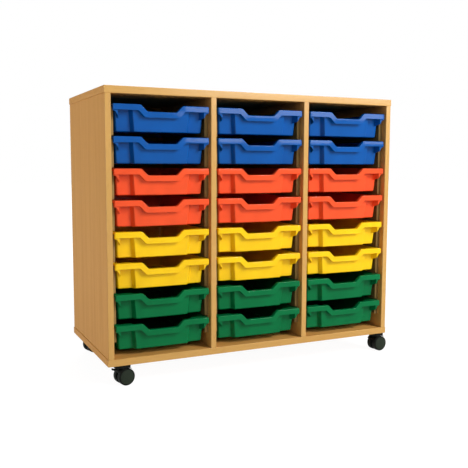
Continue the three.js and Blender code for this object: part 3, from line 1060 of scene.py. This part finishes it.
        fillet, soft = self.floor_fillet, 1.0
        wall(level(inside + self.foot_height), self.wall + self.foot_inset)
        wall(level(inside), self.wall + self.foot_inset - 1)
        for a in quarter:
            wall(level(inside + fillet * (1 - math.cos(a))), self.wall + fillet * (1 - math.sin(a)))
        for a in quarter:
            wall(under(soft * (1 - math.sin(a))), self.wall - soft * (1 - math.cos(a)))
        for a in quarter:
            edge(under(self.lip_radius * (1 - math.cos(a))), self.lip_radius * (1 - math.sin(a)))
        foot = self.rim / 2
        for a in half_turn:
            rim(over(foot * (1 - math.sin(a))), foot * (1 - math.cos(a)))
        web = 1.2
        for a in quarter:
            rim(under(self.rim + web * (1 - math.sin(a))), self.rim + web * (1 - math.cos(a)))
        root = 2.0
        for a in quarter:
            wall(under(self.rim + root * (1 - math.cos(a))), -root * (1 - math.sin(a)))
        for a in quarter:
            wall(level(base + self.base_fillet * (1 - math.sin(a))), self.base_fillet * (1 - math.cos(a)))
        wall(level(base), self.foot_inset - 1)
        wall(level(base + self.foot_height), self.foot_inset)
        return places

    def fin(self, shape: Shape, way: int, placed: Matrix) -> None:
        """Add the toe under one end of the lip, and the fin that braces it against the front wall.

        Args:
            shape: The tray's mesh.
            way: 1 for the right end, and -1 for the left.
            placed: Where the tray goes.
        """
        top, slope = -self.rim / 2, 2.0
        near, far = (way * (self.width / 2 - inset) for inset in (1, self.toe_width))
        knee = near + (far - near) * 0.44
        toe = [(near, top), (near, -self.toe_end), (knee, -self.toe_end - slope), (far, -self.toe_drop), (far, top)]
        back = self.toe_setback + self.toe_thickness
        shape.prism(toe, -back, -self.toe_setback, 0.7, 0, placed @ Matrix.Rotation(math.pi / 2, 4, "X"))
        half = self.fin_thickness / 2
        start = Vector((far + way * half, back - half, 0))
        end_y = self.panel_setback + self.panel_step + self.wall / 2
        along = (Vector((way * (self.width / 2 - self.fin_inset), end_y, 0)) - start).normalized()
        reach, lean = (end_y - start.y) / along.y, self.front_draft / self.height / along.y
        foot = reach + lean * self.fin_drop
        outline = [(0, top), (0, 1 - self.toe_drop), (foot, -self.fin_drop), (reach - lean * top, top)]
        across = along.cross(Vector((0, 0, 1)))
        turn = Matrix((along, (0, 0, 1), across)).transposed().to_4x4()
        shape.prism(outline, -half, half, 0.6, 0, placed @ Matrix.Translation(start) @ turn)

    def add_to(self, shape: Shape, placed: Matrix) -> None:
        """Build the tray in a mesh.

        Args:
            shape: The mesh that takes it.
            placed: Where it goes.
        """
        stations = self.stations()
        shape.loft([[place(station) for station in stations] for place in self.profile()], 0, placed)
        for way in (-1, 1):
            self.fin(shape, way, placed)


@dataclass
class TrayBank:
    """The trays in their bays and rows."""

    bays: tuple[str, ...] = ("left", "centre", "right")
    row_colours: tuple[str, ...] = ("blue", "blue", "red", "red", "yellow", "yellow", "green", "green")

    def build(self) -> None:
        """Build and dress every tray."""
        for row, colour in enumerate(self.row_colours, 1):
            for bay in self.bays:
                node = f"{bay}_tray_row_{row}"
                low, high = node_box(node)
                size = high - low
                shape = Shape()
                middle = Matrix.Translation(((low.x + high.x) / 2, low.y, high.z))
                Tray(size.x, size.y, size.z).add_to(shape, middle)
                made = shape.piece(f"{node}_moulding", [TRAY_FINISHES[colour]])
                dress(made, node, f"tray_{colour}", node)


@dataclass
class Castor:
    """A twin-wheel castor: X along its trail from the swivel, Y along its axle, Z up from the floor."""

    corner: str
    brake: bool
    swivel: Vector = field(default_factory=Vector)
    trail: float = 25.0
    turn: float = 0.0
    wheel_radius: float = 27.0
    wheel_width: float = 19.0
    wheel_inner_face: float = 4.5
    cap_bottom: float = 55.5
    cap_thickness: float = 10.0
    cap_front: float = 8.0
    cap_rear: float = 14.0
    cap_corner: float = 5.0
    nose_half: float = 6.0
    nose_run: float = 14.0
    hood_half: float = 21.5
    fender_gap: float = 1.5
    fender_thickness: float = 2.0
    fender_from: float = 58.0
    fender_to: float = 150.0
    fork_thickness: float = 7.0
    fork_neck: float = 12.0
    fork_front: float = 2.0
    boss_radius: float = 9.0
    lever_width: float = 10.0
    lever_thickness: float = 2.2
    lever_headroom: float = 1.8
    lever_reach: float = 8.0
    lever_rise: float = 3.0
    screw_place: float = 14.0
    round_steps: int = 72

    def __post_init__(self) -> None:
        """Read the swivel's place and the trail from the joints."""
        places = {joint["name"]: joint.get("pos_m") for joint in frame["joints"]}
        self.swivel = Vector(places[f"{self.corner}_castor_swivel"]) / MM
        axle = Vector(places[f"{self.corner}_castor_wheel_inner_spin"]) / MM
        run = axle - self.swivel
        self.trail = math.hypot(run.x, run.y)
        self.turn = math.atan2(run.y, run.x)
        self.wheel_radius = axle.z

    @property
    def name(self) -> str:
        """The name that the castor's bodies and solids start with."""
        return f"{self.corner}_castor"

    @property
    def placed(self) -> Matrix:
        """The castor's place in the unit, from the floor up."""
        on_floor = Matrix.Translation((self.swivel.x, self.swivel.y, 0))
        return on_floor @ Matrix.Rotation(self.turn, 4, "Z")

    def build(self) -> None:
        """Build and dress the castor's pieces."""
        self.plate()
        self.hood()
        for side, way in (("inner", 1), ("outer", -1)):
            self.wheel(side, way)
        if self.brake:
            self.lever()
        axle = f"{self.name}_axle"
        frame["nodes"][axle].data.materials.clear()
        frame["nodes"][axle].data.materials.append(AXLE_FINISH.material())

    def plate(self) -> None:
        """Build the screwed plate and its swivel stem."""
        node = f"{self.name}_plate"
        low, high = node_box(node)
        half, top = (high.x - low.x) / 2, high.z
        thickness, stem = 2.5, 6.0
        upright = Matrix.Translation((self.swivel.x, self.swivel.y, 0))
        shape = Shape()
        square = [(-half, -half), (half, -half), (half, half), (-half, half)]
        shape.prism(round_corners(square, 5.0, 5), top - thickness, top, 0.5, 0, upright)
        collar = [(0, top - 1), (11, top - 1), (11, top - 3), (9, top - 4), (stem, top - 4.2), (stem, low.z), (0, low.z)]
        shape.turned(collar, 40, 0, upright)
        for x in (-self.screw_place, self.screw_place):
            for y in (-self.screw_place, self.screw_place):
                down = Matrix.Translation((x, y, top - thickness)) @ Matrix.Rotation(math.pi, 4, "X")
                add_screw(shape, 3.2, 1, upright @ down)
        dress(shape.piece(f"{node}_fitting", [PLATE_FINISH, AXLE_FINISH]), "carcass", "steel", node)

    def upright_outline(self, outline: Sequence[Plan], half: float, rounding: float, shape: Shape) -> None:
        """Add an outline along the trail and up, drawn out to both sides of the middle.

        Args:
            outline: The outline.
            half: How far it reaches to each side.
            rounding: The radius of its edges.
            shape: The mesh that takes it.
        """
        on_edge = self.placed @ Matrix.Rotation(math.pi / 2, 4, "X")
        shape.prism(outline, -half, half, rounding, 0, on_edge)

    def hood(self) -> None:
        """Build the hood: its cap, the fender over the wheels and the fork between them."""
        node = f"{self.name}_hood"
        shape = Shape()
        nose, tail, side = -self.cap_front, self.trail + self.cap_rear, self.hood_half
        half, wide = self.nose_half, nose + self.nose_run
        corners = [(nose, -half), (wide, -side), (tail, -side), (tail, side), (wide, side), (nose, half)]
        top = self.cap_bottom + self.cap_thickness
        rounded = round_corners(corners, self.cap_corner, 6)
        shape.prism(rounded, self.cap_bottom, top, 2.0, 0, self.placed, 3)
        inner = self.wheel_radius + self.fender_gap
        outer = inner + self.fender_thickness
        steps = 18
        angles = [
            math.radians(self.fender_from + (self.fender_to - self.fender_from) * step / steps)
            for step in range(steps + 1)
        ]
        axle = Vector((self.trail, self.wheel_radius))
        arc = [tuple(axle + outer * Vector((math.cos(a), math.sin(a)))) for a in angles]
        arc += [tuple(axle + inner * Vector((math.cos(a), math.sin(a)))) for a in reversed(angles)]
        self.upright_outline(arc, side, 0.8, shape)
        boss = [math.radians(180 + 180 * step / 12) for step in range(13)]
        fork = [tuple(axle + self.boss_radius * Vector((math.cos(a), math.sin(a)))) for a in boss]
        in_cap = self.cap_bottom + self.cap_thickness / 4
        fork += [(self.trail + self.fork_neck, in_cap), (self.fork_front, in_cap)]
        self.upright_outline(fork, self.fork_thickness / 2, 0.6, shape)
        dress(shape.piece(f"{node}_moulding", [HOOD_FINISH]), self.name, "castor_plastic", node)

    def wheel(self, side: str, way: int) -> None:
        """Build one wheel with its tread and domed face.

        Args:
            side: The name of the wheel's side.
            way: 1 where its face looks along the axle, and -1 where it looks back.
        """
        node = f"{self.name}_wheel_{side}"
        radius, width = self.wheel_radius, self.wheel_width
        edge, face = 2.2, radius - 3.4
        rim = [math.radians(angle) for angle in (0, 30, 60, 90)]
        tread = [(0, 0.6), (6, 0.6), (6, 0), (radius - 5, 0), (radius - 4, 1.2), (radius - edge, 1.2)]
        tread += [(radius - edge + edge * math.sin(a), 1.2 + edge * (1 - math.cos(a))) for a in rim]
        tread += [
            (radius - edge + edge * math.cos(a), width - 1.5 - edge + edge * math.sin(a)) for a in rim
        ]
        tread += [(face + 0.6, width - 1.6), (face, width - 2.6), (0, width - 2.6)]
        dome = [(0, width - 3.2), (face - 0.5, width - 3.2), (face - 0.5, width - 2.0)]
        dome += [(face - 1.2, width - 1.2), (face - 5, width - 0.5), (face - 12, width - 0.1), (0, width)]
        shape = Shape()
        out = Matrix.Translation((self.trail, way * self.wheel_inner_face, radius))
        placed = self.placed @ out @ Matrix.Rotation(-way * math.pi / 2, 4, "X")
        shape.turned(tread, self.round_steps, 1, placed)
        shape.turned(dome, self.round_steps, 0, placed)
        dress(shape.piece(f"{node}_tyre", [WHEEL_FINISH, TREAD_FINISH]), node, "wheel_plastic", node)

    def lever(self) -> None:
        """Build the brake lever."""
        node = f"{self.name}_brake_lever"
        top = self.cap_bottom - self.lever_headroom
        bottom = top - self.lever_thickness
        nose, tip = -self.cap_front, -self.cap_front - self.lever_reach
        outline = [
            (-0.5, bottom), (-0.5, top), (nose, top), (tip + 0.8, top + self.lever_rise),
            (tip, top + self.lever_rise - 0.6), (tip, bottom - 1), (nose - 1, bottom - 1), (nose, bottom),
        ]
        shape = Shape()
        self.upright_outline(outline, self.lever_width / 2, 0.5, shape)
        dress(shape.piece(f"{node}_pedal", [HOOD_FINISH]), node, "castor_plastic", node)


@dataclass
class Studio:
    """The floor, the light and the camera."""

    eye: Point = (-1045.4, -2234.6, 690.4)
    yaw: float = 25.39
    pitch: float = 5.90
    roll: float = 0.192
    focal_pixels: float = 683.0
    image_width: float = 468.0
    sensor: float = 36.0
    floor_size: float = 40.0
    floor_colour: Colour = (0.70, 0.70, 0.70)
    shadow_reach: tuple[float, float] = (0.9, 2.6)
    shadow_share: float = 0.18
    floor_white: float = 1.16
    ambient: float = 0.15

    def build(self) -> None:
        """Build the studio."""
        self.floor()
        self.world()
        self.lamp("key", (1.63, -2.48, 2.3), (0.0, -0.24, 0.5), (1.0, 1.0), 77.0)
        self.lamp("front", (2.66, -4.5, 1.78), (0.0, -0.24, 1.78), (2.44, 1.05), 75.0)
        self.lamp("left", (-1.2, -2.85, 1.5), (0.2, -0.24, 0.6), (1.2, 1.2), 9.5)
        self.lamp("fill", (-2.9, 0.35, 0.9), (-0.5, 0.0, 0.45), (1.8, 1.8), 26.0)
        self.lamp("rear", (0.9, 3.0, 2.4), (0.0, 0.0, 0.5), (2.2, 2.2), 70.0)
        self.camera()
        bpy.context.scene.view_settings.view_transform = "Standard"

    def camera(self) -> None:
        """Place the camera at the photograph's viewing angle."""
        yaw, pitch, roll = (math.radians(angle) for angle in (self.yaw, self.pitch, self.roll))
        ahead = Vector((math.sin(yaw) * math.cos(pitch), math.cos(yaw) * math.cos(pitch), -math.sin(pitch)))
        right = Vector((math.cos(yaw), -math.sin(yaw), 0))
        up = right.cross(ahead)
        tilted_right = math.cos(roll) * right + math.sin(roll) * up
        tilted_up = math.cos(roll) * up - math.sin(roll) * right
        turn = Matrix((tilted_right, tilted_up, -ahead)).transposed().to_4x4()
        data = bpy.data.cameras.new("camera")
        data.sensor_width = self.sensor
        data.lens = self.focal_pixels / self.image_width * self.sensor
        made = bpy.data.objects.new("camera", data)
        made.matrix_world = Matrix.Translation(Vector(self.eye) * MM) @ turn
        bpy.context.scene.collection.objects.link(made)
        bpy.context.scene.camera = made

    def lamp(self, name: str, place: Point, aim: Point, size: Plan, power: float) -> None:
        """Hang a soft box lamp.

        Args:
            name: Its name.
            place: Where it hangs, in metres.
            aim: What it points at, in metres.
            size: Its width and height, in metres.
            power: Its power, in watts.
        """
        data = bpy.data.lights.new(name, "AREA")
        data.shape, data.energy = "RECTANGLE", power
        data.size, data.size_y = size
        made = bpy.data.objects.new(name, data)
        made.location = place
        made.rotation_euler = (Vector(aim) - Vector(place)).to_track_quat("-Z", "Y").to_euler()
        bpy.context.scene.collection.objects.link(made)

    def world(self) -> None:
        """Light the studio evenly, and show white behind the object."""
        world = bpy.data.worlds.new("studio")
        graph = Graph(world)
        strength = self.ambient + (1 - self.ambient) * graph.seen_directly()
        sky = graph.node("Background", inputs={"Color": (1.0, 1.0, 1.0), "Strength": strength})
        graph.node("OutputWorld", inputs={"Surface": sky.outputs[0]})
        bpy.context.scene.world = world

    def floor(self) -> None:
        """Lay a plain pale floor that keeps the object's shadow."""
        half = self.floor_size / 2
        data = bpy.data.meshes.new("floor")
        data.from_pydata([(-half, -half, 0), (half, -half, 0), (half, half, 0), (-half, half, 0)], [], [(0, 1, 2, 3)])
        graph = Graph(bpy.data.materials.new("pale_floor"))
        distance = graph.node("VectorMath", {"operation": "LENGTH"}, {0: graph.place()})
        near, far = self.shadow_reach
        away = graph.share(Value(graph, distance.outputs["Value"]), near, far)
        white = graph.node("Emission", inputs={"Color": (1.0, 1.0, 1.0), "Strength": self.floor_white})
        matt = graph.node("BsdfDiffuse", inputs={"Color": self.floor_colour})
        plain = graph.seen_directly() * (1 - self.shadow_share * (1 - away))
        both = graph.node("MixShader", inputs={0: plain, 1: matt.outputs[0], 2: white.outputs[0]})
        graph.node("OutputMaterial", inputs={"Surface": both.outputs[0]})
        data.materials.append(graph.owner)
        made = bpy.data.objects.new("floor", data)
        bpy.context.scene.collection.objects.link(made)


def main() -> None:
    """Build the unit's looks and the studio around them."""
    Studio().build()
    Carcass().build()
    RunnerStrips().build()
    TrayBank().build()
    for corner, brake in (("front_left", True), ("front_right", False), ("rear_left", False), ("rear_right", True)):
        Castor(corner, brake).build()


if __name__ == "__main__":
    main()
